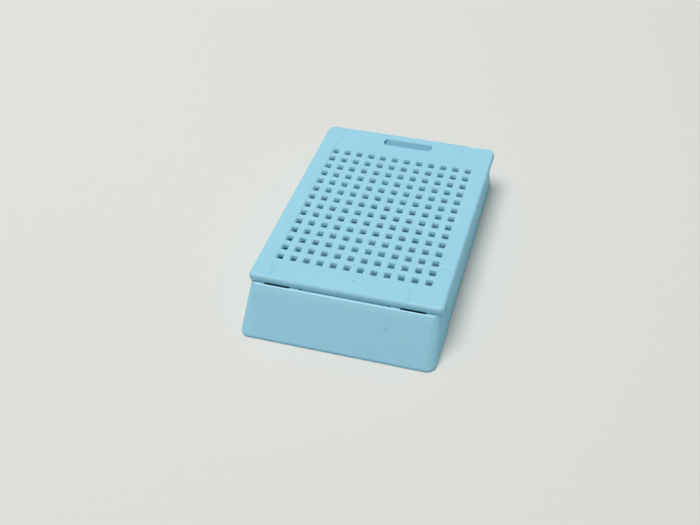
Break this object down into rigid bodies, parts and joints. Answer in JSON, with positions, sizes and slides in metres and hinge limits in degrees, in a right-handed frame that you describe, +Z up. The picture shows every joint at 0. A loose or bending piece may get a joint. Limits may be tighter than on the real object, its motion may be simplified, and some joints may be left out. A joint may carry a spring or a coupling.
{
  "type": "tissue cassette",
  "caption": "Perforated plastic cassette with a sloped writing panel and a hinged, snap-shut lid, which holds a tissue sample through fixing, processing and embedding.",
  "frame": {"origin": "centre of the underside, on the surface that the closed cassette stands on", "axes": "+Y from the writing panel's foot to the lid's rear edge, +Z up, +X to the right as the writing panel is read"},
  "size_m": [0.0286, 0.041, 0.0067],
  "materials": {
    "tray_acetal": "satin moulded acetal, pale blue",
    "lid_acetal": "satin moulded acetal, pale blue"
  },
  "bodies": {
    "tray": {"tray": "tray_acetal"},
    "lid": {"lid": "lid_acetal"}
  },
  "joints": [
    {"name": "lid_hinge", "type": "hinge", "parent": "tray", "child": "lid", "pos_m": [0, -0.0151, 0.00565], "axis": [1, 0, 0], "range_deg": [0, 120]}
  ]
}
